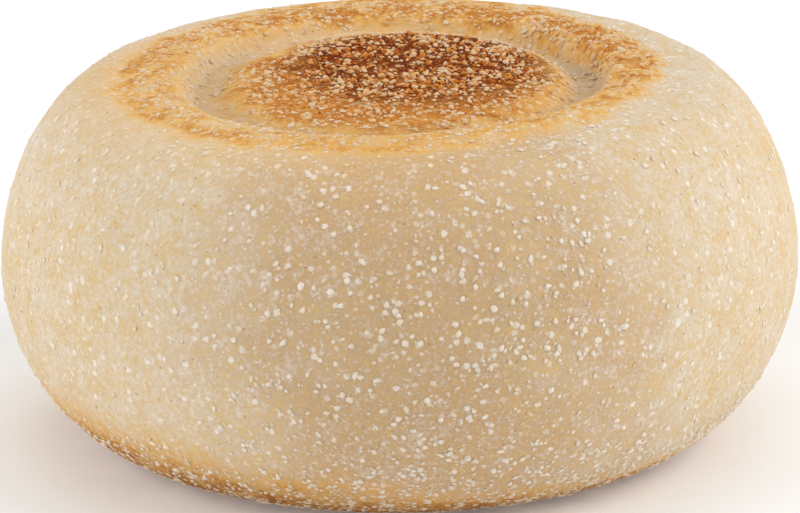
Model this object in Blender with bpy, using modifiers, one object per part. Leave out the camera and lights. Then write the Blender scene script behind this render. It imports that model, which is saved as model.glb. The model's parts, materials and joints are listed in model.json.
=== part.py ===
"""Whole english muffin, griddled on both faces and dusted with semolina grits.

One solid. Its origin is the middle of the face it rests on, with +Z up and -Y the side that faces
the viewer. The plain dough form is a turned profile. Its two faces then get what the griddle leaves
on a muffin: a flat pad in the middle, a sunken moat round it and a raised crest outside the moat.
The largest grits are fused on last.
"""

import math
import random

import bmesh
import bpy
from mathutils import Euler, Matrix, Vector, noise

MM = 0.001

# Driving dimensions of the dough
RADIUS = 45.0 * MM
CAP_HEIGHT = 40.8 * MM
EQUATOR_HEIGHT = 20.0 * MM
TOP_SHOULDER_RADIUS = 32.7 * MM
BOTTOM_SHOULDER_RADIUS = 28.6 * MM
TOP_FLANK_POWER = 1.85
BOTTOM_FLANK_POWER = 1.95

# Driving dimensions of the two griddled faces
PAD_RADIUS = 11.5 * MM
PAD_EDGE_RADIUS = 17.0 * MM
MOAT_INNER_RADIUS = 20.8 * MM
MOAT_OUTER_RADIUS = 22.7 * MM
LIP_RADIUS = 24.3 * MM
CREST_RADIUS = 26.6 * MM
PAD_RISE = 0.2 * MM
PAD_EDGE_DROP = 0.35 * MM
LIP_RISE = 0.35 * MM
CREST_RISE = 0.7 * MM
TOP_MOAT_DEPTH = 1.6 * MM
TOP_MOAT_SWING = 0.3 * MM
TOP_MOAT_SIDE_SWING = 0.4 * MM
DEEPEST_MOAT_AZIMUTH = math.radians(15)
RING_BULGE = 2.6 * MM
RING_BULGE_AZIMUTH = math.radians(-124)
BOTTOM_PAD_RADIUS = 15.5 * MM
BOTTOM_MOAT_RADIUS = 20.5 * MM
BOTTOM_CREST_RADIUS = 25.5 * MM
BOTTOM_MOAT_DEPTH = 0.6 * MM

# Unevenness of the dough
FLANK_LUMP = 0.45 * MM
LUMP_LENGTH = 24.0 * MM
FACE_TILT = math.radians(0.4)
OUT_OF_ROUND = 0.006
OVAL_AZIMUTH = math.radians(70)

# Fineness of the turned mesh
SEGMENTS = 60
PAD_RINGS = 4
MOAT_RINGS = 4
LIP_RINGS = 2
CREST_RINGS = 2
SHOULDER_RINGS = 3
FLANK_STEPS = 8
BOTTOM_PAD_RINGS = 2
BOTTOM_MOAT_RINGS = 3
MERGE_DISTANCE = 0.01 * MM

# The largest grits, and how many lie in each band of radii on the upper face or of heights on the flank
GRIT_SEED = 7
GRIT_RADIUS = (0.48 * MM, 0.68 * MM)
GRIT_PROPORTIONS = Vector((1.2, 0.95, 0.8))
GRIT_ROUGHNESS = 0.16
GRIT_SUNK = 0.3
CANDIDATES_PER_GRIT = 14
PAD_GRITS = (54, (0.0, 16.0 * MM))
CREST_GRITS = (46, (25.0 * MM, 32.2 * MM))
FLANK_GRITS = (58, (9.0 * MM, 34.0 * MM))
LOW_GRITS = (34, (2.5 * MM, 9.0 * MM))

# Finishes, each a name, a colour and a roughness, in the order of the material slots
PALE_CRUST = ("pale_crust", (0.72, 0.55, 0.36), 0.75)
GOLDEN_SCORCH = ("golden_scorch", (0.66, 0.36, 0.12), 0.65)
BROWN_SCORCH = ("brown_scorch", (0.30, 0.10, 0.03), 0.6)
SEMOLINA = ("semolina", (0.86, 0.78, 0.64), 0.5)
FINISHES = (PALE_CRUST, GOLDEN_SCORCH, BROWN_SCORCH, SEMOLINA)
SCORCH_INNER_RADIUS = 24.0 * MM
SCORCH_OUTER_RADIUS = 31.0 * MM
TOP_SCORCH_FLOOR = 36.0 * MM
BOTTOM_SCORCH_CEILING = 3.0 * MM


def clear_scene():
    for obj in list(bpy.data.objects):
        bpy.data.objects.remove(obj)


def new_material(name, colour, roughness):
    material = bpy.data.materials.new(name)
    material.use_nodes = True
    shader = material.node_tree.nodes["Principled BSDF"]
    shader.inputs["Base Color"].default_value = (*colour, 1.0)
    shader.inputs["Roughness"].default_value = roughness
    shader.inputs["Metallic"].default_value = 0.0
    material.diffuse_color = (*colour, 1.0)
    return material


def new_collection(name):
    collection = bpy.data.collections.new(name)
    bpy.context.scene.collection.children.link(collection)
    return collection


def eased(start, end, share):
    """From start to end with a level tangent at both."""
    return start + (end - start) * share * share * (3 - 2 * share)


def along_stations(stations, radius):
    """Height at a radius, eased from one (radius, height) station to the next."""
    for (inner, low), (outer, high) in zip(stations, stations[1:]):
        if radius <= outer:
            return eased(low, high, (radius - inner) / (outer - inner))
    return stations[-1][1]


def ring_radius(radius, azimuth):
    """The radius at which the upper relief is read, less than the real one where the ring bulges out."""
    toward = max(math.cos(azimuth - RING_BULGE_AZIMUTH), 0.0)
    stations = ((0.0, 0.0), (CREST_RADIUS, 1.0), (TOP_SHOULDER_RADIUS, 0.0))
    return radius - RING_BULGE * toward ** 4 * along_stations(stations, radius)


def top_face_height(radius, azimuth):
    """Relief of the upper face above the cap plane: pad, moat, lip and crest."""
    around = azimuth - DEEPEST_MOAT_AZIMUTH
    swing = TOP_MOAT_SWING * math.cos(around) + TOP_MOAT_SIDE_SWING * math.cos(2 * around)
    depth = TOP_MOAT_DEPTH + swing
    stations = (
        (0.0, PAD_RISE),
        (PAD_RADIUS, PAD_RISE),
        (PAD_EDGE_RADIUS, -PAD_EDGE_DROP),
        (MOAT_INNER_RADIUS, -depth),
        (MOAT_OUTER_RADIUS, -depth),
        (LIP_RADIUS, LIP_RISE),
        (CREST_RADIUS, CREST_RISE),
        (TOP_SHOULDER_RADIUS, 0.0),
    )
    return along_stations(stations, ring_radius(radius, azimuth))


def bottom_face_height(radius):
    """Relief of the lower face above the table: a flat pad and crest, and a shallow moat."""
    stations = (
        (0.0, 0.0),
        (BOTTOM_PAD_RADIUS, 0.0),
        (BOTTOM_MOAT_RADIUS, BOTTOM_MOAT_DEPTH),
        (BOTTOM_CREST_RADIUS, 0.0),
        (BOTTOM_SHOULDER_RADIUS, 0.0),
    )
    return along_stations(stations, radius)


def flank_point(shoulder, rise, power, angle):
    """Point of a bulging flank, a quarter superellipse, at an angle from its shoulder down to the equator."""
    reach = math.sin(angle) ** (2 / power)
    climb = math.cos(angle) ** (2 / power) if angle < math.pi / 2 else 0.0
    return shoulder + (RADIUS - shoulder) * reach, rise * climb


def evenly(start, end, count):
    """Evenly spaced values from start, without end itself."""
    return [start + (end - start) * step / count for step in range(count)]


def dough_profile():
    """Half outline in the XZ plane, from the middle of the top down the outside to the middle of the base."""
    top_radii = [
        *evenly(0.0, PAD_EDGE_RADIUS, PAD_RINGS),
        *evenly(PAD_EDGE_RADIUS, MOAT_OUTER_RADIUS, MOAT_RINGS),
        *evenly(MOAT_OUTER_RADIUS, LIP_RADIUS, LIP_RINGS),
        *evenly(LIP_RADIUS, CREST_RADIUS, CREST_RINGS),
        *evenly(CREST_RADIUS, TOP_SHOULDER_RADIUS, SHOULDER_RINGS),
    ]
    points = [(radius, CAP_HEIGHT) for radius in top_radii]
    angles = [math.pi / 2 * step / FLANK_STEPS for step in range(FLANK_STEPS + 1)]
    top_rise = CAP_HEIGHT - EQUATOR_HEIGHT
    for angle in angles:
        radius, climb = flank_point(TOP_SHOULDER_RADIUS, top_rise, TOP_FLANK_POWER, angle)
        points.append((radius, EQUATOR_HEIGHT + climb))
    for angle in reversed(angles[:-1]):
        radius, climb = flank_point(BOTTOM_SHOULDER_RADIUS, EQUATOR_HEIGHT, BOTTOM_FLANK_POWER, angle)
        points.append((radius, EQUATOR_HEIGHT - climb))
    bottom_radii = [
        *evenly(0.0, BOTTOM_PAD_RADIUS, BOTTOM_PAD_RINGS),
        *evenly(BOTTOM_PAD_RADIUS, BOTTOM_MOAT_RADIUS, BOTTOM_MOAT_RINGS),
        *evenly(BOTTOM_MOAT_RADIUS, BOTTOM_CREST_RADIUS, BOTTOM_MOAT_RINGS),
        BOTTOM_CREST_RADIUS,
    ]
    points.extend((radius, 0.0) for radius in reversed(bottom_radii))
    return points


def turned_dough(collection):
    """The plain dough, its profile turned about Z by a Screw modifier that is then applied."""
    points = dough_profile()
    mesh = bpy.data.meshes.new("dough_profile")
    edges = [(index, index + 1) for index in range(len(points) - 1)]
    mesh.from_pydata([(radius, 0.0, height) for radius, height in points], edges, [])
    outline = bpy.data.objects.new("dough_profile", mesh)
    collection.objects.link(outline)
    screw = outline.modifiers.new("turn", "SCREW")
    screw.axis = "Z"
    screw.steps = SEGMENTS
    screw.render_steps = SEGMENTS
    screw.use_merge_vertices = True
    screw.merge_threshold = MERGE_DISTANCE
    graph = bpy.context.evaluated_depsgraph_get()
    dough = bpy.data.objects.new("muffin", bpy.data.meshes.new_from_object(outline.evaluated_get(graph)))
    collection.objects.link(dough)
    bpy.data.objects.remove(outline)
    return dough


def pushed(point):
    """Where a point of the plain turned dough lies on the real muffin."""
    radius = math.hypot(point.x, point.y)
    azimuth = math.atan2(point.y, point.x)
    height = point.z
    if height > CAP_HEIGHT - MERGE_DISTANCE:
        height += top_face_height(radius, azimuth)
    elif height < MERGE_DISTANCE:
        height += bottom_face_height(radius)
    climb = min(point.z / CAP_HEIGHT, 1.0)
    height += point.x * math.tan(FACE_TILT) * eased(0.0, 1.0, climb)
    oval = OUT_OF_ROUND * math.cos(2 * (azimuth - OVAL_AZIMUTH))
    lump = FLANK_LUMP * noise.noise(point / LUMP_LENGTH) * math.sin(math.pi * climb)
    grown = 1 + oval + lump / RADIUS
    return Vector((point.x * grown, point.y * grown, height))


def shape_dough(dough):
    for vertex in dough.data.vertices:
        vertex.co = pushed(vertex.co)
    dough.data.update()


def paint_dough(dough):
    """Gives each face of the dough its finish: scorched crests, scorched upper pad, pale elsewhere."""
    for finish in FINISHES:
        dough.data.materials.append(new_material(*finish))
    for face in dough.data.polygons:
        radius = math.hypot(face.center.x, face.center.y)
        on_a_face = face.center.z > TOP_SCORCH_FLOOR or face.center.z < BOTTOM_SCORCH_CEILING
        if on_a_face and radius < PAD_EDGE_RADIUS:
            face.material_index = FINISHES.index(BROWN_SCORCH)
        elif on_a_face and SCORCH_INNER_RADIUS < radius < SCORCH_OUTER_RADIUS:
            face.material_index = FINISHES.index(GOLDEN_SCORCH)
    dough.data.shade_smooth()


def point_around(radius, height, draw):
    azimuth = draw.uniform(-math.pi, math.pi)
    return Vector((radius * math.cos(azimuth), radius * math.sin(azimuth), height))


def point_on_face(radii, draw):
    """A random point of a ring on the cap plane, with equal areas equally likely."""
    inner, outer = radii
    return point_around(math.sqrt(draw.uniform(inner ** 2, outer ** 2)), CAP_HEIGHT, draw)


def point_on_flank(heights, draw):
    return point_around(RADIUS, draw.uniform(*heights), draw)


def nearest_gap(point, others):
    return min(((point - other).length for other in others), default=math.inf)


def spread(band, new_point, draw):
    """Evenly spread aiming points in a band: each is the random candidate furthest from the rest."""
    count, limits = band
    chosen = []
    while len(chosen) < count:
        candidates = [new_point(limits, draw) for _ in range(CANDIDATES_PER_GRIT)]
        chosen.append(max(candidates, key=lambda point: nearest_gap(point, chosen)))
    return chosen


def new_grit(name, seat, normal, draw, collection, material):
    """One chipped grit, a jittered icosphere sunk a little into the crust at its seat."""
    radius = draw.uniform(*GRIT_RADIUS)
    shape = bmesh.new()
    bmesh.ops.create_icosphere(shape, subdivisions=1, radius=radius)
    for vertex in shape.verts:
        vertex.co *= 1 + draw.uniform(-GRIT_ROUGHNESS, GRIT_ROUGHNESS)
    bmesh.ops.scale(shape, vec=GRIT_PROPORTIONS, verts=shape.verts)
    turn = Euler([draw.uniform(0.0, math.tau) for _ in range(3)]).to_matrix()
    bmesh.ops.rotate(shape, cent=(0.0, 0.0, 0.0), matrix=turn, verts=shape.verts)
    mesh = bpy.data.meshes.new(name)
    shape.to_mesh(mesh)
    shape.free()
    mesh.materials.append(material)
    grit = bpy.data.objects.new(name, mesh)
    lift = radius * GRIT_PROPORTIONS.z * (1 - 2 * GRIT_SUNK)
    grit.matrix_world = Matrix.Translation(seat + normal * lift)
    collection.objects.link(grit)


def scatter_grits(dough, collection):
    """The largest grits, thickest on the scorched faces and low on the flank, where most cling."""
    draw = random.Random(GRIT_SEED)
    aims = [
        *spread(PAD_GRITS, point_on_face, draw),
        *spread(CREST_GRITS, point_on_face, draw),
        *spread(FLANK_GRITS, point_on_flank, draw),
        *spread(LOW_GRITS, point_on_flank, draw),
    ]
    semolina = dough.data.materials[FINISHES.index(SEMOLINA)]
    for index, aim in enumerate(aims):
        _, seat, normal, _ = dough.closest_point_on_mesh(aim)
        new_grit(f"grit_{index:03d}", seat, normal, draw, collection, semolina)


def fuse(dough, collection):
    """Joins the grits to the dough in one solid and removes the loose ones."""
    union = dough.modifiers.new("fuse_grits", "BOOLEAN")
    union.operation = "UNION"
    union.operand_type = "COLLECTION"
    union.collection = collection
    union.solver = "EXACT"
    union.material_mode = "TRANSFER"
    graph = bpy.context.evaluated_depsgraph_get()
    dough.data = bpy.data.meshes.new_from_object(dough.evaluated_get(graph))
    dough.modifiers.clear()
    for grit in list(collection.objects):
        bpy.data.objects.remove(grit)
    bpy.data.collections.remove(collection)


def main():
    clear_scene()
    muffin_parts = new_collection("english_muffin")
    grits = new_collection("loose_grits")
    dough = turned_dough(muffin_parts)
    shape_dough(dough)
    paint_dough(dough)
    scatter_grits(dough, grits)
    fuse(dough, grits)


main()
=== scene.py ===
"""Looks of a whole english muffin, griddled on both faces and dusted with semolina grits.

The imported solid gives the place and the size. The crust is one finely divided mesh whose form
follows the dough's rule, and each kind of semolina grit is one mesh of chips scattered over it.
"""

from __future__ import annotations

import json
import logging
import math
import random
from dataclasses import dataclass, field
from enum import Enum
from typing import Any, Optional, Union

import bmesh
import bpy
from mathutils import Euler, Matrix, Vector

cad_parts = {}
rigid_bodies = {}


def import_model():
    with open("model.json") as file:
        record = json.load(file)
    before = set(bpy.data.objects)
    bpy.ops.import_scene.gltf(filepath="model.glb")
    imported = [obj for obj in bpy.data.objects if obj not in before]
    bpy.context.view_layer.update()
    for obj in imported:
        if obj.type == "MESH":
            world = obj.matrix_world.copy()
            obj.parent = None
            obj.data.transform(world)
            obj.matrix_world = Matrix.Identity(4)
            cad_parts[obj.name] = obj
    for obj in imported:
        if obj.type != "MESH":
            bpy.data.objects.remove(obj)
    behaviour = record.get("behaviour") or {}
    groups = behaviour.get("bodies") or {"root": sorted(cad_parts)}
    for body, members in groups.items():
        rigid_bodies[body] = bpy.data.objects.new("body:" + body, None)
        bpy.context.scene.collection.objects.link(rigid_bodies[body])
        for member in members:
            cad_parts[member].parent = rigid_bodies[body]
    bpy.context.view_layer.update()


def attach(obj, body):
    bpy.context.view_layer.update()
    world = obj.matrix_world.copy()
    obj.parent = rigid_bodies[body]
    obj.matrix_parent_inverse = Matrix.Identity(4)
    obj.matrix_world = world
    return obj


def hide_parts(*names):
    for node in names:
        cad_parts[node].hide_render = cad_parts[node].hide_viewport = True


log = logging.getLogger("english_muffin")

MM = 0.001
PER_SQUARE_MM = 1.0e6
SEED_SHIFT = 7.31
GOLDEN_ANGLE = math.radians(137.508)
FEW_LARGE = 1.5
FAINT_AZIMUTH = math.radians(-50)
TABLE_GAP = 0.02 * MM
BODY = "root"
SOLID = "muffin"

Pair = tuple[float, float]
Colour = tuple[float, float, float]
Texture = tuple[float, ...]
Amount = Union["Wire", float]
Settings = Optional[dict[str, Any]]
Socket = Union[str, int]
Inputs = Optional[dict[Socket, Any]]


class Shading(Enum):
    """How light runs over a piece's faces: rounded, or each face flat."""

    ROUNDED = True
    FACETED = False


class Wire:
    """One output of a node, with the arithmetic that the forms and finishes are written in."""

    def __init__(self, graph: Graph, socket: bpy.types.NodeSocket) -> None:
        """Keeps the output and the graph that it belongs to."""
        self.graph = graph
        self.socket = socket

    def __add__(self, other: Amount) -> Wire:
        """Sum."""
        return self.graph.maths("ADD", self, other)

    def __sub__(self, other: Amount) -> Wire:
        """Difference."""
        return self.graph.maths("SUBTRACT", self, other)

    def __rsub__(self, other: Amount) -> Wire:
        """Difference, with the wire on the right."""
        return self.graph.maths("SUBTRACT", other, self)

    def __mul__(self, other: Amount) -> Wire:
        """Product."""
        return self.graph.maths("MULTIPLY", self, other)

    def __truediv__(self, other: Amount) -> Wire:
        """Quotient."""
        return self.graph.maths("DIVIDE", self, other)

    def __pow__(self, other: Amount) -> Wire:
        """Power, of a wire that is never below zero."""
        return self.graph.maths("POWER", self.at_least(0.0), other)

    __radd__ = __add__
    __rmul__ = __mul__

    def squared(self) -> Wire:
        """The wire times itself."""
        return self * self

    def lifted(self, least: float, more: float) -> Wire:
        """Least where the wire is 0, and more on top of it where the wire is 1."""
        return self * more + least

    def sine(self) -> Wire:
        """Sine of an angle."""
        return self.graph.maths("SINE", self)

    def cosine(self) -> Wire:
        """Cosine of an angle."""
        return self.graph.maths("COSINE", self)

    def facing(self, azimuth: float) -> Wire:
        """1 towards an azimuth, less beside it, and 0 on the side that faces away."""
        return (self - azimuth).cosine().at_least(0.0)

    def at_least(self, floor: Amount) -> Wire:
        """The larger of the wire and a floor."""
        return self.graph.maths("MAXIMUM", self, floor)

    def at_most(self, ceiling: Amount) -> Wire:
        """The smaller of the wire and a ceiling."""
        return self.graph.maths("MINIMUM", self, ceiling)

    def eased(self, start: Amount, end: Amount) -> Wire:
        """0 where the wire is at start and 1 at end, level at both."""
        return self.graph.span(self, start, end, "SMOOTHSTEP")

    def faded(self, start: Amount, end: Amount) -> Wire:
        """1 where the wire is at start and 0 at end, level at both."""
        return 1.0 - self.eased(start, end)

    def along(self, start: Amount, end: Amount) -> Wire:
        """0 where the wire is at start and 1 at end, in a straight line and held past both."""
        return self.graph.span(self, start, end, "LINEAR")


class Graph:
    """The nodes of one tree, a form's or a finish's."""

    def __init__(self, tree: bpy.types.NodeTree) -> None:
        """Keeps the tree that the nodes are added to."""
        self.tree = tree

    def node(self, kind: str, settings: Settings = None, inputs: Inputs = None) -> bpy.types.Node:
        """Adds a node.

        Args:
            kind: the node's type.
            settings: its properties, which are set first.
            inputs: a value or a wire for each of its sockets, by name or by number.

        Returns:
            The node.
        """
        node = self.tree.nodes.new(kind)
        for name, value in (settings or {}).items():
            setattr(node, name, value)
        for key, value in (inputs or {}).items():
            if isinstance(value, Wire):
                self.tree.links.new(value.socket, node.inputs[key])
            else:
                node.inputs[key].default_value = value
        return node

    def wire(
        self, kind: str, settings: Settings = None, inputs: Inputs = None, output: Socket = 0
    ) -> Wire:
        """Adds a node and gives one of its outputs, by name or by number."""
        return Wire(self, self.node(kind, settings, inputs).outputs[output])

    def maths(self, operation: str, *values: Amount) -> Wire:
        """One Math node on one, two or three values."""
        return self.wire("ShaderNodeMath", {"operation": operation}, dict(enumerate(values)))

    def span(self, value: Wire, start: Amount, end: Amount, ease: str) -> Wire:
        """Maps start to 0 and end to 1 and holds the ends."""
        inputs = {0: value, 1: start, 2: end, 3: 0.0, 4: 1.0}
        return self.wire("ShaderNodeMapRange", {"interpolation_type": ease}, inputs)

    def vector_maths(self, operation: str, *values: Any, output: int = 0) -> Wire:
        """One Vector Math node."""
        inputs = dict(enumerate(values))
        return self.wire("ShaderNodeVectorMath", {"operation": operation}, inputs, output)

    def scaled(self, vector: Wire, factor: Amount) -> Wire:
        """A vector or a colour times a number."""
        inputs = {0: vector, "Scale": factor}
        return self.wire("ShaderNodeVectorMath", {"operation": "SCALE"}, inputs)

    def parts(self, vector: Wire) -> tuple[Wire, Wire, Wire]:
        """The three parts of a vector."""
        x, y, z = self.node("ShaderNodeSeparateXYZ", inputs={0: vector}).outputs
        return Wire(self, x), Wire(self, y), Wire(self, z)

    def joined(self, x: Amount, y: Amount, z: Amount) -> Wire:
        """A vector from its three parts."""
        return self.wire("ShaderNodeCombineXYZ", inputs={0: x, 1: y, 2: z})

    def polar(self, x: Wire, y: Wire) -> tuple[Wire, Wire]:
        """Distance from the upright axis, and azimuth."""
        reach = self.maths("SQRT", x * x + y * y)
        return reach, self.maths("ARCTAN2", y, x)

    def apart(self, place: Wire, length: float, seed: Amount) -> Wire:
        """The place in units of a texture's length, shifted so that each seed reads its own."""
        shift = seed * SEED_SHIFT if isinstance(seed, Wire) else (seed * SEED_SHIFT,) * 3
        return self.vector_maths("MULTIPLY_ADD", place, (1.0 / length,) * 3, shift)

    def noise(
        self,
        place: Wire,
        length: float,
        seed: Amount,
        detail: float = 2.0,
        roughness: float = 0.5,
        output: str = "Fac",
    ) -> Wire:
        """Cloudy noise around 0.5.

        Args:
            place: where it is read, in any unit.
            length: size of its blobs, in the same unit.
            seed: which noise of its kind.
            detail: how many finer layers it has.
            roughness: how strong the finer layers are.
            output: Fac for one number, Color for three.

        Returns:
            The noise.
        """
        where = self.apart(place, length, seed)
        inputs = {"Vector": where, "Scale": 1.0, "Detail": detail, "Roughness": roughness}
        return self.wire("ShaderNodeTexNoise", inputs=inputs, output=output)

    def flecks(
        self, place: Wire, spacing: float, size: float, seed: float, softness: float = 0.5
    ) -> Wire:
        """Soft spots strewn through space, each as strong as it happens to be.

        Args:
            place: where they are read, in any unit.
            spacing: the usual distance between two spots, in the same unit.
            size: a spot's radius, in the same unit.
            seed: which spots of their kind.
            softness: the share of the radius over which a spot fades.

        Returns:
            0 between the spots, up to 1 on one.
        """
        inputs = {"Vector": self.apart(place, spacing, seed), "Scale": 1.0}
        cells = self.node("ShaderNodeTexVoronoi", inputs=inputs)
        away = Wire(self, cells.outputs["Distance"])
        strength = self.parts(Wire(self, cells.outputs["Color"]))[0]
        reach = size / spacing
        return away.faded(reach * (1.0 - softness), reach) * strength

    def blend(self, share: Amount, first: Any, second: Any) -> Wire:
        """A colour between two, each a wire or a plain colour."""
        ends = [end if isinstance(end, Wire) else (*end, 1.0) for end in (first, second)]
        inputs = {0: share, 6: ends[0], 7: ends[1]}
        return self.wire("ShaderNodeMix", {"data_type": "RGBA"}, inputs, 2)

    def coated(self, colour: Any, *coats: tuple[Amount, Any]) -> Any:
        """A colour under coats of others, laid on in turn, each with its share."""
        for share, coat in coats:
            colour = self.blend(share, colour, coat)
        return colour


class Form(Graph):
    """A Geometry Nodes tree with named inputs that ends in one plain mesh."""

    def __init__(self, name: str) -> None:
        """Starts an empty tree."""
        tree = bpy.data.node_groups.new(name, "GeometryNodeTree")
        tree.interface.new_socket("Geometry", in_out="OUTPUT", socket_type="NodeSocketGeometry")
        super().__init__(tree)
        self.entry = tree.nodes.new("NodeGroupInput")
        self.values: dict[str, Any] = {}

    def takes(self, name: str, value: Any, kind: str = "NodeSocketFloat") -> Wire:
        """Adds a named input.

        Args:
            name: what the input is called.
            value: what this piece sets it to.
            kind: the socket's type.

        Returns:
            The input as a wire.
        """
        socket = self.tree.interface.new_socket(name, in_out="INPUT", socket_type=kind)
        self.values[socket.identifier] = value
        return Wire(self, self.entry.outputs[name])

    def marked(self, geometry: Wire, name: str, value: Wire, kind: str = "FLOAT_VECTOR") -> Wire:
        """The geometry with a value stored at each of its points, under a name."""
        settings = {"data_type": kind, "domain": "POINT"}
        inputs = {"Geometry": geometry, "Name": name, "Value": value}
        return self.wire("GeometryNodeStoreNamedAttribute", settings, inputs)

    def mark(self, name: str) -> Wire:
        """The vector that is stored under a name."""
        settings = {"data_type": "FLOAT_VECTOR"}
        return self.wire("GeometryNodeInputNamedAttribute", settings, {"Name": name})

    def moved(self, geometry: Wire, how: str, vector: Wire) -> Wire:
        """The geometry with its points put at a Position, or moved by an Offset."""
        return self.wire("GeometryNodeSetPosition", inputs={"Geometry": geometry, how: vector})

    def made(
        self, name: str, geometry: Wire, finish: bpy.types.Material, shading: Shading
    ) -> bpy.types.Object:
        """Closes the tree, runs it and keeps its result as a plain mesh.

        Args:
            name: the piece's name.
            geometry: what the tree has built.
            finish: the piece's material.
            shading: whether its faces look rounded or flat.

        Returns:
            The piece, at the origin with no modifier.
        """
        finish_input = self.takes("Finish", finish, "NodeSocketMaterial")
        inputs = {"Geometry": geometry, "Shade Smooth": shading.value}
        smooth = self.wire("GeometryNodeSetShadeSmooth", inputs=inputs)
        real = self.wire("GeometryNodeRealizeInstances", inputs={0: smooth})
        inputs = {"Geometry": real, "Material": finish_input}
        dressed = self.wire("GeometryNodeSetMaterial", inputs=inputs)
        self.node("NodeGroupOutput", inputs={0: dressed})
        host = bpy.data.objects.new(name + "_host", bpy.data.meshes.new(name + "_host"))
        bpy.context.collection.objects.link(host)
        modifier = host.modifiers.new(name, "NODES")
        modifier.node_group = self.tree
        for identifier, value in self.values.items():
            modifier[identifier] = value
        view = bpy.context.evaluated_depsgraph_get()
        mesh = bpy.data.meshes.new_from_object(host.evaluated_get(view))
        mesh.name = name
        piece = bpy.data.objects.new(name, mesh)
        bpy.context.collection.objects.link(piece)
        bpy.data.objects.remove(host)
        bpy.data.node_groups.remove(self.tree)
        return piece


@dataclass(frozen=True)
class DoughForm:
    """The muffin's form, the same rule and sizes as its solid."""

    radius: float = 45.0 * MM
    cap_height: float = 40.8 * MM
    equator_height: float = 20.0 * MM
    top_shoulder: float = 32.7 * MM
    bottom_shoulder: float = 28.6 * MM
    top_power: float = 1.85
    bottom_power: float = 1.95
    pad_radius: float = 11.5 * MM
    pad_edge: float = 17.0 * MM
    moat_inner: float = 20.8 * MM
    moat_outer: float = 22.7 * MM
    lip: float = 24.3 * MM
    crest: float = 26.6 * MM
    pad_rise: float = 0.2 * MM
    pad_shift: float = 1.5 * MM
    pad_edge_drop: float = 0.35 * MM
    lip_rise: float = 0.35 * MM
    crest_rise: float = 0.7 * MM
    moat_depth: float = 1.6 * MM
    moat_swing: float = 0.3 * MM
    moat_side_swing: float = 0.4 * MM
    deepest_azimuth: float = math.radians(15)
    ring_bulge: float = 2.6 * MM
    bulge_azimuth: float = math.radians(-124)
    low_pad: float = 15.5 * MM
    low_moat: float = 20.5 * MM
    low_crest: float = 25.5 * MM
    low_moat_depth: float = 0.6 * MM
    out_of_round: float = 0.006
    oval_azimuth: float = math.radians(70)
    face_tilt: float = math.radians(0.4)

    def lengths(self) -> list[float]:
        """Shares of the outline's length at the shoulders and the equator, from the top."""
        rise = self.cap_height - self.equator_height
        top_width = self.radius - self.top_shoulder
        base_width = self.radius - self.bottom_shoulder
        upper = math.pi / 2 * math.hypot(top_width, rise) / math.sqrt(2)
        lower = math.pi / 2 * math.hypot(base_width, self.equator_height) / math.sqrt(2)
        stops = [self.top_shoulder, upper, lower, self.bottom_shoulder]
        return [sum(stops[:count]) / sum(stops) for count in (1, 2, 3)]

    def outline(self, share: Wire) -> tuple[Wire, Wire]:
        """Radius and height of the plain dough at a share of its outline's length.

        Args:
            share: 0 at the middle of the top and 1 at the middle of the base.

        Returns:
            The radius and the height.
        """
        shoulder, equator, base = self.lengths()
        upper = share.along(shoulder, equator) * (math.pi / 2)
        lower = (1.0 - share.along(equator, base)) * (math.pi / 2)
        top_round, base_round = 2 / self.top_power, 2 / self.bottom_power
        radius = (
            share.along(0.0, shoulder) * self.top_shoulder
            + upper.sine() ** top_round * (self.radius - self.top_shoulder)
            - (1.0 - lower.sine() ** base_round) * (self.radius - self.bottom_shoulder)
            - share.along(base, 1.0) * self.bottom_shoulder
        )
        height = (
            self.equator_height
            + upper.cosine() ** top_round * (self.cap_height - self.equator_height)
            - lower.cosine() ** base_round * self.equator_height
        )
        return radius, height

    def ring_radius(self, radius: Wire, azimuth: Wire) -> Wire:
        """The radius at which the upper relief is read, less than the real one where it bulges."""
        reach = radius.eased(0.0, self.crest) - radius.eased(self.crest, self.top_shoulder)
        bulging = azimuth.facing(self.bulge_azimuth).squared().squared()
        return radius - bulging * reach * self.ring_bulge

    def inner_radius(self, radius: Wire, azimuth: Wire) -> Wire:
        """The radius at which the pad is read, less than the real one at the back."""
        return radius - azimuth.sine().at_least(0.0).squared() * self.pad_shift

    def upper_relief(self, radius: Wire, azimuth: Wire) -> Wire:
        """How far the upper face stands above the cap plane: pad, moat, lip and crest."""
        around = azimuth - self.deepest_azimuth
        one_side = around.cosine() * self.moat_swing
        both_sides = (around * 2.0).cosine() * self.moat_side_swing
        depth = self.moat_depth + one_side + both_sides
        radius = self.ring_radius(radius, azimuth)
        inner = self.inner_radius(radius, azimuth)
        return (
            self.pad_rise
            - inner.eased(self.pad_radius, self.pad_edge) * (self.pad_rise + self.pad_edge_drop)
            - inner.eased(self.pad_edge, self.moat_inner) * (depth - self.pad_edge_drop)
            + radius.eased(self.moat_outer, self.lip) * (depth + self.lip_rise)
            + radius.eased(self.lip, self.crest) * (self.crest_rise - self.lip_rise)
            - radius.eased(self.crest, self.top_shoulder) * self.crest_rise
        )

    def lower_relief(self, radius: Wire) -> Wire:
        """Height of the lower face above the table: a flat pad and crest, and a shallow moat."""
        dip = radius.eased(self.low_pad, self.low_moat)
        return (dip - radius.eased(self.low_moat, self.low_crest)) * self.low_moat_depth


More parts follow.
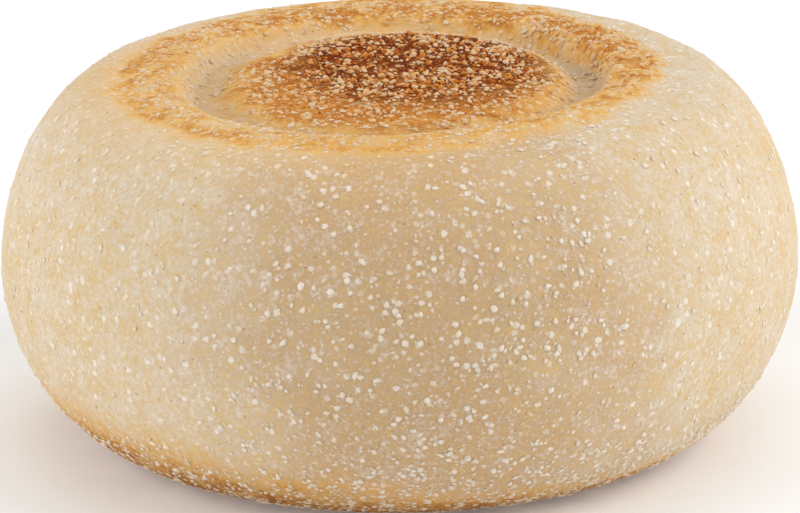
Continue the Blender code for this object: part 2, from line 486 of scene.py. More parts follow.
@dataclass(frozen=True)
class Scorch:
    """Where the griddle browned the muffin, in millimetres from its axis and from the table.

    A texture holds what Graph.noise takes. An edge or a span is where a change starts and ends, and
    an amount is a region's least browning and how much its blots add.
    """

    form: DoughForm = field(default_factory=DoughForm)
    wobble: Texture = (4.5, 3.0, 3.0, 0.6)
    blots: Texture = (0.8, 5.0, 2.0, 0.7)
    clouds: Texture = (3.6, 8.0)
    blot_span: Pair = (0.38, 0.6)
    cloud_span: Pair = (0.36, 0.6)
    patchiness: float = 0.55
    face_edge: Pair = (31.0, 34.0)
    edge_wander: float = 5.0
    ring_inner: float = 24.9
    ring_shift: float = 0.9
    shift_azimuth: float = math.radians(50)
    ring_outer: float = 31.2
    ring_bulge: float = 1.5
    ring_back: float = 2.4
    ring_side: float = 2.2
    ring_fade: float = 1.6
    ring_amount: Pair = (0.08, 0.74)
    ring_swing: float = 0.36
    strong_azimuth: float = math.radians(60)
    behind_span: Pair = (0.7, 1.0)
    faint_span: Pair = (0.6, 0.96)
    faint_narrowing: float = 0.6
    faint_paling: float = 0.1
    glow_edge: Pair = (24.5, 28.5)
    glow_wander: float = 3.0
    glow_amount: Pair = (0.14, 0.38)
    # Where the moat's painted shade lies, how much it pales towards the back, and how much glow it
    # hides.
    moat_inner: Pair = (17.0, 20.0)
    moat_outer: Pair = (22.8, 24.4)
    moat_back: Pair = (8.0, 20.0)
    moat_back_paling: float = 0.6
    moat_cover: float = 0.65
    halo_start: Pair = (27.0, 31.0)
    halo_end: Pair = (31.0, 41.0)
    halo_azimuth: float = math.radians(-155)
    halo_amount: float = 0.25
    gold_spot: Pair = (-1.0, -2.5)
    gold_size: Pair = (20.5, 21.5)
    gold_edge: Pair = (0.6, 1.1)
    gold_wander: float = 0.35
    gold_amount: Pair = (0.42, 0.6)
    char_spot: Pair = (2.0, 3.4)
    char_size: Pair = (17.5, 19.6)
    char_edge: Pair = (0.62, 1.05)
    char_wander: float = 0.5
    char_span: Pair = (0.36, 0.58)
    char_amount: Pair = (0.56, 0.55)
    char_lean: float = 0.017
    pad_edge: Pair = (16.6, 18.6)
    low_reach: float = 4.6
    low_least: float = 0.8
    low_swing: float = 6.0
    low_azimuth: float = math.radians(-148)
    low_gold_edge: Pair = (0.2, 1.25)
    low_gold: Pair = (0.3, 0.6)
    low_brown: Pair = (0.27, 0.45)
    low_pad: Pair = (13.0, 16.0)
    low_face: Pair = (2.0, 4.0)
    low_pad_brown: Pair = (0.3, 0.5)

    def masks(self, graph: Graph, place: Wire) -> tuple[Wire, Wire, Wire]:
        """How golden and how brown the crust is at a place, and how much painted shade lies in its
        moat.

        Args:
            graph: the finish's graph.
            place: the place in millimetres.

        Returns:
            The golden share, the brown share and the share of the moat's painted shade.
        """
        x, y, z = graph.parts(place)
        reach, azimuth = graph.polar(x, y)
        ring_reach = self.form.ring_radius(reach * MM, azimuth) / MM
        inner_reach = self.form.inner_radius(reach * MM, azimuth) / MM
        wobble = graph.noise(place, *self.wobble) - 0.5
        blot = graph.noise(place, *self.blots)
        cloud = graph.noise(place, *self.clouds)
        patchy = blot.eased(*self.blot_span) * self.patchiness
        patchy = patchy + cloud.eased(*self.cloud_span) * self.patchiness
        on_top = z.eased(*self.face_edge)
        # Painted shade: the moat's recess is darkened in colour, less so towards the back.
        moat_shade = ring_reach.eased(*self.moat_inner) * ring_reach.faded(*self.moat_outer) * on_top
        moat_shade = moat_shade * (1.0 - y.eased(*self.moat_back) * self.moat_back_paling)
        ring = self.ring(ring_reach + wobble * self.edge_wander, azimuth)
        gold = ring * patchy.lifted(*self.ring_amount)
        glow = (ring_reach + wobble * self.glow_wander).faded(*self.glow_edge)
        # The golden glow is painted weaker where the moat's painted shade lies.
        gold = gold + glow * (1.0 - moat_shade * self.moat_cover) * cloud.lifted(*self.glow_amount)
        halo = ring_reach.eased(*self.halo_start) - ring_reach.eased(*self.halo_end)
        gold = gold + halo * azimuth.facing(self.halo_azimuth) * self.halo_amount
        dome = self.spot(x, y, self.gold_spot, self.gold_size) + wobble * self.gold_wander
        gold = gold + dome.faded(*self.gold_edge) * patchy.lifted(*self.gold_amount)
        char = self.spot(x, y, self.char_spot, self.char_size) + wobble * self.char_wander
        least, more = self.char_amount
        dark = least + y * self.char_lean + blot.eased(*self.char_span) * more
        char = char.faded(*self.char_edge) * dark * inner_reach.faded(*self.pad_edge)
        low_gold, low_brown = self.lower(z, reach, azimuth, wobble, patchy)
        gold = (gold * on_top + low_gold).at_most(1.0)
        brown = (char * on_top + low_brown).at_most(1.0)
        return gold, brown, moat_shade

    def ring(self, reach: Wire, azimuth: Wire) -> Wire:
        """The scorched ring outside the moat, nearer on one side, faint and narrow on another."""
        start = self.ring_inner - (azimuth - self.shift_azimuth).cosine() * self.ring_shift
        faint = (azimuth - FAINT_AZIMUTH).cosine().eased(*self.faint_span)
        behind = azimuth.sine().eased(*self.behind_span)
        beside = azimuth.facing(0.0).squared()
        bulging = azimuth.facing(self.form.bulge_azimuth).squared()
        edge = self.ring_outer + bulging * self.ring_bulge + behind * self.ring_back
        edge = edge - faint * self.faint_narrowing - beside * self.ring_side
        inner = reach.eased(start - self.ring_fade, start + self.ring_fade)
        outer = reach.faded(edge - self.ring_fade, edge + self.ring_fade)
        strong = (azimuth - self.strong_azimuth).cosine().lifted(1.0, self.ring_swing)
        return inner * outer * (1.0 - faint * self.faint_paling) * strong

    def spot(self, x: Wire, y: Wire, middle: Pair, size: Pair) -> Wire:
        """How far a place is from an oval's middle, 1 on its edge."""
        across, along = (x - middle[0]) / size[0], (y - middle[1]) / size[1]
        return x.graph.maths("SQRT", across.squared() + along.squared())

    def lower(
        self, z: Wire, reach: Wire, azimuth: Wire, wobble: Wire, patchy: Wire
    ) -> tuple[Wire, Wire]:
        """The scorched lower edge, which reaches highest on one side, and the pad underneath."""
        toward = azimuth.facing(self.low_azimuth).squared()
        edge = self.low_reach + toward * self.low_swing + wobble * self.edge_wander
        climb = z / edge.at_least(self.low_least)
        pad = (reach + wobble * self.edge_wander).faded(*self.low_pad) * z.faded(*self.low_face)
        gold = climb.faded(*self.low_gold_edge) * patchy.lifted(*self.low_gold)
        brown = climb.faded(0.0, 1.0) * patchy.lifted(*self.low_brown)
        return gold, brown + pad * patchy.lifted(*self.low_pad_brown)


@dataclass(frozen=True)
class CrustFinish:
    """Floury pale crust with a felt-like skin, scorched golden to brown by the griddle.

    A texture holds what Graph.noise or Graph.flecks takes, in millimetres. The moat carries painted
    shade, and the front is darker, partly from toast and partly as painted shade.
    """

    pale: Colour = (0.70, 0.56, 0.385)
    # Front colour: partly toast, partly painted shade.
    toast_and_shade: Colour = (0.57, 0.36, 0.183)
    yellow: Colour = (0.70, 0.49, 0.225)
    flour: Colour = (0.76, 0.67, 0.56)
    chalk: Colour = (0.85, 0.77, 0.67)
    amber: Colour = (0.79, 0.45, 0.13)
    golden: Colour = (0.53, 0.20, 0.035)
    brown: Colour = (0.165, 0.025, 0.002)
    granule: Colour = (0.84, 0.60, 0.33)
    # Colour of the painted shade in the moat.
    moat_shade: Colour = (0.36, 0.21, 0.11)
    speck: Colour = (0.36, 0.15, 0.06)
    felt: Texture = (0.45, 19.0, 3.0, 0.7)
    dent: Texture = (0.5, 27.0, 1.0)
    dent_reach: float = 0.5
    buried: Texture = (1.25, 0.48, 29.0, 0.5)
    fine: Texture = (0.7, 0.24, 33.0, 0.6)
    specks: Texture = (1.3, 0.17, 31.0)
    cluster: Texture = (2.2, 37.0, 1.0)
    cluster_span: Pair = (0.35, 0.65)
    amber_span: Pair = (0.0, 0.5)
    golden_span: Pair = (0.4, 1.0)
    moat_shade_cover: float = 0.26
    speck_cover: float = 0.7
    drift: Texture = (14.0, 11.0)
    tone: Texture = (2.6, 13.0, 3.0, 0.65)
    grain: Texture = (0.6, 17.0, 2.0, 0.75)
    toast_and_shade_azimuth: float = math.radians(-85)
    toast_and_shade_span: Pair = (0.76, 1.0)
    flour_span: Pair = (0.0, 1.2)
    yellow_span: Pair = (0.0, -0.9)
    relief: float = 0.16 * MM

    def build(self) -> bpy.types.Material:
        """Makes the material."""
        material, graph, place = new_finish("muffin_crust")
        colour, height = self.coat(graph, place, Scorch().masks(graph, place))
        bump = {"Strength": 1.0, "Distance": self.relief, "Height": height}
        inputs = {
            "Base Color": colour,
            "Roughness": 0.85,
            "Normal": graph.wire("ShaderNodeBump", inputs=bump),
            "Specular IOR Level": 0.08,
            "Subsurface Weight": 0.12,
            "Subsurface Radius": (1.0, 0.5, 0.25),
            "Subsurface Scale": 1.2 * MM,
        }
        return dress(material, graph, inputs)

    def coat(self, graph: Graph, place: Wire, masks: tuple[Wire, ...]) -> tuple[Wire, Wire]:
        """The crust's colour and its fine relief at a place.

        Args:
            graph: the finish's graph.
            place: the place in millimetres.
            masks: the scorch's golden and brown shares there, and the share of the moat's painted
                shade.

        Returns:
            The colour, and the relief from 0 to about 1.
        """
        gold, brown, moat_shade = masks
        felt = graph.noise(place, *self.felt)
        dent = graph.noise(place, *self.dent, output="Color")
        stirred = graph.vector_maths("MULTIPLY_ADD", dent, (self.dent_reach,) * 3, place)
        buried = graph.flecks(stirred, *self.buried)
        fine = graph.flecks(stirred, *self.fine)
        cluster = graph.noise(place, *self.cluster).eased(*self.cluster_span)
        pale_flecks = (buried.eased(0.1, 0.8) * 0.75 + fine * 0.6) * (0.4 + cluster)
        # Fewer granules show through the moat's painted shade.
        grainy = (buried * 1.4 + fine) * gold.along(0.0, 0.6) * (1.0 - moat_shade * 0.5)
        colour = graph.coated(
            self.skin(graph, place, felt),
            (pale_flecks.at_most(0.9), self.chalk),
            (gold.along(*self.amber_span), self.amber),
            (gold.along(*self.golden_span), self.golden),
            # Painted shade darkens the moat.
            (moat_shade * self.moat_shade_cover, self.moat_shade),
            (grainy.at_most(0.75), self.granule),
            (brown, self.brown),
            (graph.flecks(place, *self.specks) * self.speck_cover, self.speck),
        )
        return colour, felt * 0.5 + buried * 0.3 + fine * 0.15

    def skin(self, graph: Graph, place: Wire, felt: Wire) -> Wire:
        """The unscorched crust, mottled between yellow and floury.

        It is darker and less floury in front, partly from toast and partly as painted shade.
        """
        azimuth = graph.polar(*graph.parts(place)[:2])[1]
        toward = (azimuth - self.toast_and_shade_azimuth).cosine()
        drift = graph.noise(place, *self.drift) - 0.5
        tone = graph.noise(place, *self.tone) - 0.5
        grain = graph.noise(place, *self.grain) - 0.5
        # Partly painted shade: the front is tinted darker and less floury, as if less lit, on top of
        # its toast.
        front = (toward + drift * 0.4).eased(*self.toast_and_shade_span) * 0.85
        mottle = drift * 1.3 + tone * (2.6 - front * 0.5) + grain * 3.5
        floury = mottle.along(*self.flour_span) * (1.0 - front * 0.2)
        yellow = mottle.along(*self.yellow_span) * (1.0 - front * 0.25)
        coats = (front, self.toast_and_shade), (floury, self.flour), (yellow, self.yellow)
        return graph.scaled(graph.coated(self.pale, *coats), felt.lifted(0.9, 0.2))


@dataclass(frozen=True)
class GritFinish:
    """Semolina chips, off-white where the crust is pale and browned where it is scorched.

    Where a chip rises less than film millimetres off the crust, it fades into the crust's colour. In
    the moat's painted shade the chips are painted darker and warmer.
    """

    name: str
    film: float
    toasting: float = 1.0
    white: Colour = (0.85, 0.76, 0.65)
    cream: Colour = (0.81, 0.685, 0.52)
    honey: Colour = (0.755, 0.57, 0.34)
    golden: Colour = (0.72, 0.29, 0.038)
    brown: Colour = (0.44, 0.10, 0.008)
    cream_span: Pair = (0.3, 1.0)
    honey_span: Pair = (0.0, 0.5)
    golden_span: Pair = (0.0, 0.75)
    brown_span: Pair = (0.6, 1.4)
    few_toasted: float = 1.6
    mottle: Texture = (0.35, 41.0)

    def build(self) -> bpy.types.Material:
        """Makes the material."""
        material, graph, place = new_finish(self.name)
        shade, rise = (
            graph.wire("ShaderNodeAttribute", {"attribute_name": name}, output="Fac")
            for name in ("shade", "rise")
        )
        gold, brown, moat_shade = masks = Scorch().masks(graph, place)
        # Chips in the moat's painted shade are painted warmer, like lit-through shaded sides.
        warmth = gold.along(*self.honey_span) * (0.9 * min(self.toasting, 1.0)) + moat_shade * 0.35
        own = shade ** self.few_toasted * 1.5 + 0.06
        toast = (gold * 0.65 + brown * 0.35) * own * self.toasting
        colour = graph.coated(
            self.white,
            (shade.eased(*self.cream_span) * 0.7, self.cream),
            (warmth.at_most(1.0), self.honey),
            (toast.along(*self.golden_span), self.golden),
            (toast.along(*self.brown_span), self.brown),
        )
        mottle = graph.noise(place, *self.mottle).lifted(0.88, 0.24)
        # Painted shade: chips in the moat are darkened.
        colour = graph.scaled(colour, mottle - moat_shade * 0.12)
        crust = CrustFinish().coat(graph, place, masks)[0]
        inputs = {
            "Base Color": graph.blend(rise.eased(0.0, self.film), crust, colour),
            "Roughness": 0.5,
            "Specular IOR Level": 0.18,
            "Subsurface Weight": 0.25,
            "Subsurface Radius": (1.0, 0.9, 0.8),
            "Subsurface Scale": 0.3 * MM,
        }
        return dress(material, graph, inputs)


@dataclass(frozen=True)
class FloorFinish:
    """White studio floor that glows a little, like a light table."""

    colour: Colour = (0.88, 0.88, 0.88)
    glow: float = 0.14

    def build(self) -> bpy.types.Material:
        """Makes the material."""
        material, graph, _ = new_finish("studio_floor")
        inputs = {
            "Base Color": (*self.colour, 1.0),
            "Roughness": 0.9,
            "Specular IOR Level": 0.1,
            "Emission Color": (*self.colour, 1.0),
            "Emission Strength": self.glow,
        }
        return dress(material, graph, inputs)


def new_finish(name: str) -> tuple[bpy.types.Material, Graph, Wire]:
    """Starts a material.

    Args:
        name: the material's name.

    Returns:
        The material, its graph, and the place on the piece in millimetres.
    """
    material = bpy.data.materials.new(name)
    material.use_nodes = True
    material.node_tree.nodes.clear()
    graph = Graph(material.node_tree)
    place = graph.wire("ShaderNodeTexCoord", output="Object")
    return material, graph, graph.scaled(place, 1.0 / MM)


def dress(material: bpy.types.Material, graph: Graph, inputs: dict[str, Any]) -> bpy.types.Material:
    """Ends a material in one shader with these inputs."""
    shader = graph.wire("ShaderNodeBsdfPrincipled", inputs=inputs)
    graph.node("ShaderNodeOutputMaterial", inputs={"Surface": shader})
    return material


@dataclass(frozen=True)
class Crust:
    """The muffin's whole skin as one finely divided mesh."""

    form: DoughForm = field(default_factory=DoughForm)
    cube_steps: int = 129
    seed: float = 4.0
    lump_height: float = 0.7 * MM
    lump_length: float = 24.0 * MM
    dimple_height: float = 0.42 * MM
    dimple_length: float = 6.0 * MM
    pore_height: float = 0.16 * MM
    pore_length: float = 1.7 * MM
    wander: float = 1.5 * MM
    wander_length: float = 9.0 * MM
    face_fade: float = 1.0 * MM
    calm_height: float = 4.0 * MM

    def build(self) -> bpy.types.Object:
        """Makes the crust from a rounded cube whose points are laid along the dough's outline."""
        form = self.form
        tree = Form("dough_form")
        steps = tree.takes("Steps", self.cube_steps, "NodeSocketInt")
        seed = tree.takes("Seed", self.seed)
        lump = tree.takes("Lump height", self.lump_height)
        dimple = tree.takes("Dimple height", self.dimple_height)
        pore = tree.takes("Pore height", self.pore_height)
        inputs = {"Size": (2.0,) * 3, "Vertices X": steps, "Vertices Y": steps, "Vertices Z": steps}
        cube = tree.wire("GeometryNodeMeshCube", inputs=inputs)
        start = tree.wire("GeometryNodeInputPosition")
        spread = tree.vector_maths("TANGENT", tree.scaled(start, math.pi / 4))
        along_x, along_y, along_z = tree.parts(tree.vector_maths("NORMALIZE", spread))
        azimuth = tree.maths("ARCTAN2", along_y, along_x)
        radius, height = form.outline(tree.maths("ARCCOSINE", along_z) / math.pi)
        plain = tree.joined(radius * azimuth.cosine(), radius * azimuth.sine(), height)
        x, y, _ = tree.parts(plain)
        strayed = radius + (tree.noise(plain, self.wander_length, seed) - 0.5) * self.wander
        on_cap = radius.faded(form.top_shoulder - self.face_fade, form.top_shoulder)
        cap = on_cap * height.eased(form.equator_height, form.cap_height - self.face_fade)
        at_base = height.faded(0.0, self.face_fade)
        relief = form.upper_relief(strayed, azimuth) * cap + form.lower_relief(radius) * at_base
        climb = height / form.cap_height
        tilt = x * math.tan(form.face_tilt) * climb.eased(0.0, 1.0)
        oval = ((azimuth - form.oval_azimuth) * 2.0).cosine() * form.out_of_round
        swell = (climb.at_most(1.0) * math.pi).sine()
        lumps = (tree.noise(plain, self.lump_length, seed + 1.0) - 0.5) * lump * swell
        grown = 1.0 + oval + lumps / form.radius
        placed = tree.joined(x * grown, y * grown, height + relief + tilt)
        shaped = tree.moved(cube, "Position", placed)
        here = tree.wire("GeometryNodeInputPosition")
        normal = tree.wire("GeometryNodeInputNormal")
        dimples = (tree.noise(here, self.dimple_length, seed + 2.0) - 0.5) * dimple
        pores = (tree.noise(here, self.pore_length, seed + 3.0) - 0.5) * pore
        fine = (dimples + pores) * tree.parts(here)[2].eased(0.0, self.calm_height)
        dimpled = tree.moved(shaped, "Offset", tree.scaled(normal, fine))
        return tree.made("crust", dimpled, CrustFinish().build(), Shading.ROUNDED)


@dataclass(frozen=True)
class GritBands:
    """Where each band of grits starts or ends, by the distance from the axis or from the table."""

    pad_end: Pair = (13.5 * MM, 20.0 * MM)
    moat_end: Pair = (22.5 * MM, 25.5 * MM)
    ring_end: Pair = (29.0 * MM, 33.0 * MM)
    face_end: Pair = (30.0 * MM, 34.0 * MM)
    face_start: Pair = (34.0 * MM, 38.0 * MM)
    rim_end: Pair = (4.0 * MM, 11.0 * MM)
    base_end: Pair = (0.6 * MM, 1.2 * MM)
    faint_span: Pair = (0.5, 0.95)
    faint_thinning: float = 0.65
    clump_span: Pair = (0.38, 0.66)
    clump_gain: float = 2.2


@dataclass(frozen=True)
class GritPatch:
    """Where more grits cling, in millimetres, and how many more lie on a square one."""

    x: float
    y: float
    z: float
    reach: float
    density: float


def grit_patches(*rows: tuple[float, ...]) -> tuple[GritPatch, ...]:
    """One patch for each row of its numbers."""
    return tuple(GritPatch(*row) for row in rows)


@dataclass(frozen=True)
class GritKind:
    """One kind of semolina grit and the bands where it lies.

    Sizes are radii in millimetres, and the bands' densities are per square one. Sunk is the share of
    a chip's height that the crust hides, tilt is how far it leans off the crust, thin is its height
    against its width, and film is how many millimetres the crust's colour creeps up on it.
    """

    name: str
    seed: int
    size: Pair
    corners: int
    sunk: Pair
    tilt: float = 0.6
    thin: float = 1.0
    film: float = 0.1
    shading: Shading = Shading.FACETED
    pad: float = 0.0
    moat: float = 0.0
    ring: float = 0.0
    flank: float = 0.0
    rim: float = 0.0
    base: float = 0.0
    clumping: float = 0.6
    clump_length: float = 3.0
    patches: tuple[GritPatch, ...] = ()
    toasting: float = 1.0
    bands: GritBands = field(default_factory=GritBands)

    def density(self, tree: Form, here: Wire) -> Wire:
        """How many chips lie on a square metre around a place.

        Args:
            tree: the kind's tree.
            here: the place.

        Returns:
            The density.
        """
        bands = self.bands
        x, y, z = tree.parts(here)
        radius, azimuth = tree.polar(x, y)
        above = z.eased(*bands.face_start)
        below = z.faded(*bands.base_end)
        pad = radius.faded(*bands.pad_end)
        moat = (1.0 - pad) * radius.faded(*bands.moat_end)
        faint = (azimuth - FAINT_AZIMUTH).cosine().eased(*bands.faint_span)
        ring = radius.eased(*bands.moat_end) * radius.faded(*bands.ring_end)
        ring = ring * (1.0 - faint * bands.faint_thinning)
        rim = z.faded(*bands.rim_end) * (1.0 - below)
        flank = (1.0 - above * radius.faded(*bands.face_end)) * (1.0 - rim) * (1.0 - below)
        density = (
            above * (pad * self.pad + moat * self.moat + ring * self.ring)
            + flank * self.flank
            + rim * self.rim
            + below * self.base
        )
        for patch in self.patches:
            middle = (patch.x * MM, patch.y * MM, patch.z * MM)
            away = tree.vector_maths("DISTANCE", here, middle, output=1)
            near = away.faded(0.0, patch.reach * MM)
            density = density + near * patch.density * (1.0 - below)
        clump = tree.noise(here, self.clump_length * MM, float(self.seed)).eased(*bands.clump_span)
        gathered = clump.lifted(1.0 - self.clumping, bands.clump_gain * self.clumping)
        return density.at_least(0.0) * gathered * PER_SQUARE_MM

    def build(self, crust: bpy.types.Object) -> bpy.types.Object:
        """Scatters the chips over the crust.

        Args:
            crust: the piece that they sit in.

        Returns:
            All chips of this kind as one piece.
        """
        chips = ChipShapes(self.seed, self.corners).build()
        tree = Form(self.name + "_form")
        surface = tree.takes("Crust", crust, "NodeSocketObject")
        shapes = tree.takes("Chips", chips, "NodeSocketCollection")
        small = tree.takes("Smallest", self.size[0] * MM)
        large = tree.takes("Largest", self.size[1] * MM)
        thin = tree.takes("Thin", self.thin)
        ground = tree.wire("GeometryNodeObjectInfo", inputs={"Object": surface}, output="Geometry")
        here = tree.wire("GeometryNodeInputPosition")
        inputs = {"Mesh": ground, "Density": self.density(tree, here), "Seed": self.seed}
        scatter = tree.node("GeometryNodeDistributePointsOnFaces", inputs=inputs)
        points, normal, facing = (
            Wire(tree, scatter.outputs[name]) for name in ("Points", "Normal", "Rotation")
        )
        scale = small + (large - small) * self.draw(tree, 0, 0.0, 1.0) ** FEW_LARGE
        least_lift, most_lift = (1.0 - 2.0 * share for share in reversed(self.sunk))
        lift = scale * thin * self.draw(tree, 1, least_lift, most_lift)
        marked = tree.marked(points, "shade", self.draw(tree, 2, 0.0, 1.0), "FLOAT")
        marked = tree.marked(marked, "ground", here)
        marked = tree.marked(marked, "upward", normal)
        raised = tree.moved(marked, "Offset", tree.scaled(normal, lift))
        lean_x, lean_y = (self.draw(tree, number, -self.tilt, self.tilt) for number in (3, 4))
        turn = tree.joined(lean_x, lean_y, self.draw(tree, 5, 0.0, math.tau))
        inputs = {"Rotation": facing, "Rotate By": turn}
        turned = tree.wire("FunctionNodeRotateRotation", {"rotation_space": "LOCAL"}, inputs)
        inputs = {"Collection": shapes, "Separate Children": True}
        inputs = {
            "Points": raised,
            "Instance": tree.wire("GeometryNodeCollectionInfo", inputs=inputs),
            "Pick Instance": True,
            "Rotation": turned,
            "Scale": tree.joined(scale, scale, scale * thin),
        }
        planted = tree.wire("GeometryNodeInstanceOnPoints", inputs=inputs)
        loose = tree.wire("GeometryNodeRealizeInstances", inputs={0: planted})
        climb = tree.vector_maths("SUBTRACT", here, tree.mark("ground"))
        rise = tree.vector_maths("DOT_PRODUCT", climb, tree.mark("upward"), output=1) / MM
        loose = tree.marked(loose, "rise", rise, "FLOAT")
        for name in ("ground", "upward"):
            inputs = {"Geometry": loose, "Name": name}
            loose = tree.wire("GeometryNodeRemoveAttribute", inputs=inputs)
        x, y, z = tree.parts(here)
        pressed = tree.moved(loose, "Position", tree.joined(x, y, z.at_least(TABLE_GAP)))
        finish = GritFinish(self.name + "_finish", self.film, self.toasting).build()
        piece = tree.made(self.name, pressed, finish, self.shading)
        ChipShapes.remove(chips)
        return piece

    def draw(self, tree: Form, number: int, low: float, high: float) -> Wire:
        """One of a chip's own random numbers, by its place among them, between two limits."""
        inputs = {2: low, 3: high, "Seed": self.seed * 10 + number}
        return tree.wire("FunctionNodeRandomValue", {"data_type": "FLOAT"}, inputs, 1)


@dataclass(frozen=True)
class ChipShapes:
    """A few chips of about unit radius, each the hull of corners spread unevenly over an egg."""

    seed: int
    corners: int
    count: int = 16
    stray: float = 0.36
    shallow: float = 0.8
    long: Pair = (1.05, 1.45)
    wide: Pair = (0.8, 1.05)
    thick: Pair = (0.7, 0.95)

    def build(self) -> bpy.types.Collection:
        """Makes the chips in a collection of their own."""
        draw = random.Random(self.seed)
        collection = bpy.data.collections.new("chips")
        for number in range(self.count):
            collection.objects.link(self.chip(number, draw))
        return collection

    def chip(self, number: int, draw: random.Random) -> bpy.types.Object:
        """One chip.

        Args:
            number: its place among the chips.
            draw: the random draw.

        Returns:
            The chip.
        """
        shape = bmesh.new()
        for corner in range(self.corners):
            height = 1.0 - (2.0 * corner + 1.0) / self.corners
            around = corner * GOLDEN_ANGLE
            level = math.sqrt(1.0 - height * height)
            place = Vector((level * math.cos(around), level * math.sin(around), height))
            place += Vector([draw.uniform(-self.stray, self.stray) for _ in range(3)])
            shape.verts.new(place.normalized() * draw.uniform(self.shallow, 1.0))
        bmesh.ops.convex_hull(shape, input=shape.verts)
        inside = [vertex for vertex in shape.verts if not vertex.link_faces]
        bmesh.ops.delete(shape, geom=inside, context="VERTS")
        bmesh.ops.recalc_face_normals(shape, faces=shape.faces)
        stretch = [draw.uniform(*span) for span in (self.long, self.wide, self.thick)]
        bmesh.ops.scale(shape, vec=stretch, verts=shape.verts)
        turn = Euler((0.0, 0.0, draw.uniform(0.0, math.tau))).to_matrix()
        bmesh.ops.rotate(shape, cent=(0.0, 0.0, 0.0), matrix=turn, verts=shape.verts)
        return as_object(f"chip_{number}", shape)

    @staticmethod
    def remove(collection: bpy.types.Collection) -> None:
        """Takes the chips away once they have been scattered."""
        for chip in list(collection.objects):
            bpy.data.objects.remove(chip)
        bpy.data.collections.remove(collection)


@dataclass(frozen=True)
class Softbox:
    """A square studio light that looks at the muffin, from an azimuth and elevation in degrees."""

    name: str
    azimuth: float
    elevation: float
    power: float
    distance: float = 1.2
    side: float = 0.8

    def build(self) -> None:
        """Hangs the light."""
        light = bpy.data.lights.new(self.name, "AREA")
        light.shape = "SQUARE"
        light.size = self.side
        light.energy = self.power
        lamp = bpy.data.objects.new(self.name, light)
        azimuth, elevation = math.radians(self.azimuth), math.radians(self.elevation)
        lamp.location = on_sphere(azimuth, elevation, self.distance)
        lamp.rotation_euler = (-lamp.location).to_track_quat("-Z", "Y").to_euler()
        bpy.context.collection.objects.link(lamp)


@dataclass(frozen=True)
class Studio:
    """Pale floor, soft lights and the camera at the photo's angle."""

    floor_side: float = 6.0
    sky: Colour = (1.0, 1.0, 1.0)
    sky_strength: float = 0.42
    camera_distance: float = 0.6
    camera_elevation: float = math.radians(17.4)
    camera_roll: float = math.radians(0.35)
    lens: float = 238.8
    sensor_width: float = 36.0
    aim_height: float = 19.4 * MM
    lights: tuple[Softbox, ...] = (
        Softbox("left_softbox", azimuth=190, elevation=25, power=7.1),
        Softbox("right_softbox", azimuth=-8, elevation=34, power=8.8),
        Softbox("top_softbox", azimuth=90, elevation=80, power=3.4, distance=1.4, side=0.9),
    )

    def build(self) -> None:
        """Sets the whole studio up."""
        self.build_floor()
        self.build_sky()
        for light in self.lights:
            light.build()
        self.build_camera()

    def build_floor(self) -> None:
        """Lays the floor at the height that the muffin rests on."""
        shape = bmesh.new()
        bmesh.ops.create_grid(shape, x_segments=1, y_segments=1, size=self.floor_side / 2)
        floor = as_object("floor", shape)
        floor.data.materials.append(FloorFinish().build())
        bpy.context.collection.objects.link(floor)

    def build_sky(self) -> None:
        """Surrounds the scene with even light."""
        world = bpy.data.worlds.new("studio_sky")
        world.use_nodes = True
        world.node_tree.nodes.clear()
        graph = Graph(world.node_tree)
        inputs = {"Color": (*self.sky, 1.0), "Strength": self.sky_strength}
        light = graph.wire("ShaderNodeBackground", inputs=inputs)
        graph.node("ShaderNodeOutputWorld", inputs={"Surface": light})
        bpy.context.scene.world = world
        bpy.context.scene.view_settings.view_transform = "Standard"

    def build_camera(self) -> None:
        """Places the camera where the photo was taken from."""
        camera = bpy.data.cameras.new("photo_camera")
        camera.lens = self.lens
        camera.sensor_width = self.sensor_width
        stand = bpy.data.objects.new("photo_camera", camera)
        aim = Vector((0.0, 0.0, self.aim_height))
        stand.location = aim + on_sphere(-math.pi / 2, self.camera_elevation, self.camera_distance)
        facing = (aim - stand.location).to_track_quat("-Z", "Y").to_matrix()
        roll = Euler((0.0, 0.0, -self.camera_roll)).to_matrix()
        stand.rotation_euler = (facing @ roll).to_euler()
        bpy.context.collection.objects.link(stand)
        bpy.context.scene.camera = stand


def on_sphere(azimuth: float, elevation: float, distance: float) -> Vector:
    """A place at this azimuth, elevation and distance from the origin."""
    level = distance * math.cos(elevation)
    rise = distance * math.sin(elevation)
    return Vector((level * math.cos(azimuth), level * math.sin(azimuth), rise))


def as_object(name: str, shape: bmesh.types.BMesh) -> bpy.types.Object:
    """Ends a shape as an object of this name."""
    mesh = bpy.data.meshes.new(name)
    shape.to_mesh(mesh)
    shape.free()
    return bpy.data.objects.new(name, mesh)


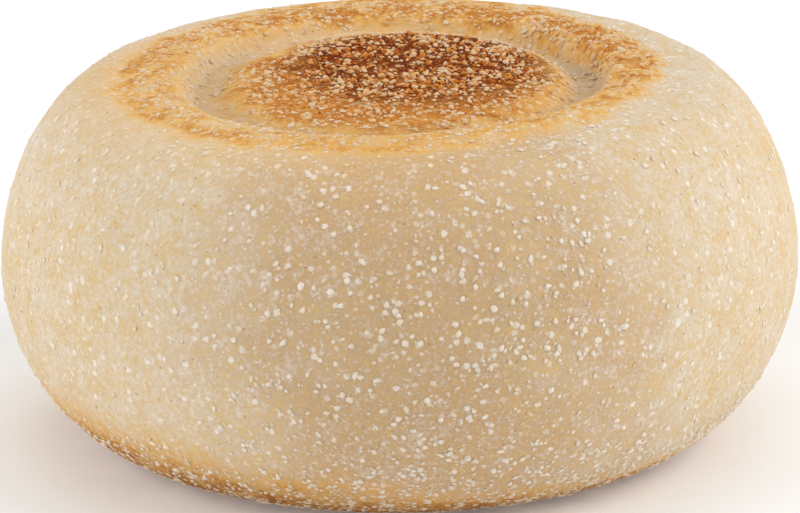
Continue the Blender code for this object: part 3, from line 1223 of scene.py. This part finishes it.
GRIT_KINDS = (
    GritKind(
        "pad_grits", seed=51, size=(0.27, 0.5), corners=16, sunk=(0.4, 0.7), tilt=1.2,
        shading=Shading.ROUNDED, pad=1.5, moat=0.06, ring=0.05, clumping=0.7, clump_length=2.2,
        patches=grit_patches(
            (-9, -20, 41, 9, 0.5), (7, -21, 41, 10, 0.6), (-18, 1, 41, 7, 0.5),
            (18, -3, 41, 7, 0.5), (21.5, 5, 40, 4, 1.6), (16, 8.5, 41, 4, 1.2),
            (17, 17, 41, 6, 1.1), (24, 11, 42, 6, 0.8), (-8, 16.5, 41, 6, 1.2),
            (3, 18, 41, 7, 1.6), (12, 13.5, 41, 5, 1.4), (4, 4.5, 41, 7, -0.6),
            (-8, 7, 41, 5, 0.7), (5.5, -8, 41, 5, 0.5),
        ),
    ),
    GritKind(
        "crumbs", seed=57, size=(0.14, 0.24), corners=9, sunk=(0.3, 0.6), tilt=1.2,
        pad=1.1, clumping=0.4, toasting=1.7,
    ),
    GritKind(
        "ring_grits", seed=52, size=(0.28, 0.48), corners=16, sunk=(0.58, 0.86), tilt=0.5,
        film=0.09, shading=Shading.ROUNDED, pad=0.4, moat=0.45, ring=2.3, toasting=0.9,
        patches=grit_patches((-14, -12, 41, 8, 0.9), (15, -9, 41, 7, 0.7)),
    ),
    GritKind(
        "flank_grits", seed=53, size=(0.33, 0.56), corners=16, sunk=(0.56, 0.78),
        tilt=0.25, thin=0.55, film=0.12, shading=Shading.ROUNDED, moat=0.03, flank=0.1, rim=0.6,
        clump_length=2.0, toasting=0.3,
        patches=grit_patches(
            (20, -34, 5, 13, 0.7), (3, -44.5, 22, 27, 0.6), (17, -38, 34, 17, 0.3),
            (-6, -40, 8, 23, 0.35), (22, 39, 20, 29, 0.5), (-24, -24, 38.5, 5, 0.9),
            (-19, -28, 38.5, 5, 1.2), (-7, -21, 41, 9, 0.7), (6, -21, 41, 9, 0.9),
            (21, -23, 41, 4.5, 1.4), (17, -29, 40, 5, 1.1), (-10, -31, 40, 7, 0.5),
        ),
    ),
    GritKind(
        "sunken_grits", seed=54, size=(0.3, 0.5), corners=14, sunk=(0.72, 0.88), tilt=0.1,
        thin=0.35, film=0.05, ring=0.1, flank=0.6, rim=0.3, clumping=0.7, clump_length=2.4,
    ),
    GritKind(
        "rim_grits", seed=55, size=(0.3, 0.54), corners=14, sunk=(0.55, 0.8), tilt=0.4,
        thin=0.75, shading=Shading.ROUNDED, rim=1.3, base=0.25, clump_length=2.4, toasting=0.2,
    ),
    GritKind(
        "meal", seed=56, size=(0.1, 0.18), corners=8, sunk=(0.35, 0.65),
        pad=0.3, moat=0.2, ring=0.5, flank=0.06, rim=0.5, base=0.2,
    ),
)


@dataclass(frozen=True)
class Muffin:
    """The whole muffin: its crust and every kind of grit on it."""

    crust: Crust = field(default_factory=Crust)
    kinds: tuple[GritKind, ...] = GRIT_KINDS

    def build(self) -> None:
        """Makes the crust and scatters the grits over it."""
        crust = self.crust.build()
        self.add(crust)
        for kind in self.kinds:
            self.add(kind.build(crust))
        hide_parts(SOLID)

    def add(self, piece: bpy.types.Object) -> None:
        """Lets a piece ride on the muffin's body and reports it."""
        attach(piece, BODY)
        triangles = sum(len(face.vertices) - 2 for face in piece.data.polygons)
        log.info("%s: %d triangles", piece.name, triangles)


def main() -> None:
    """Loads the solid, builds the muffin around it and sets the studio up."""
    logging.basicConfig(level=logging.INFO, format="%(message)s")
    for left in list(bpy.data.objects):
        bpy.data.objects.remove(left)
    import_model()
    Muffin().build()
    Studio().build()


if __name__ == "__main__":
    main()
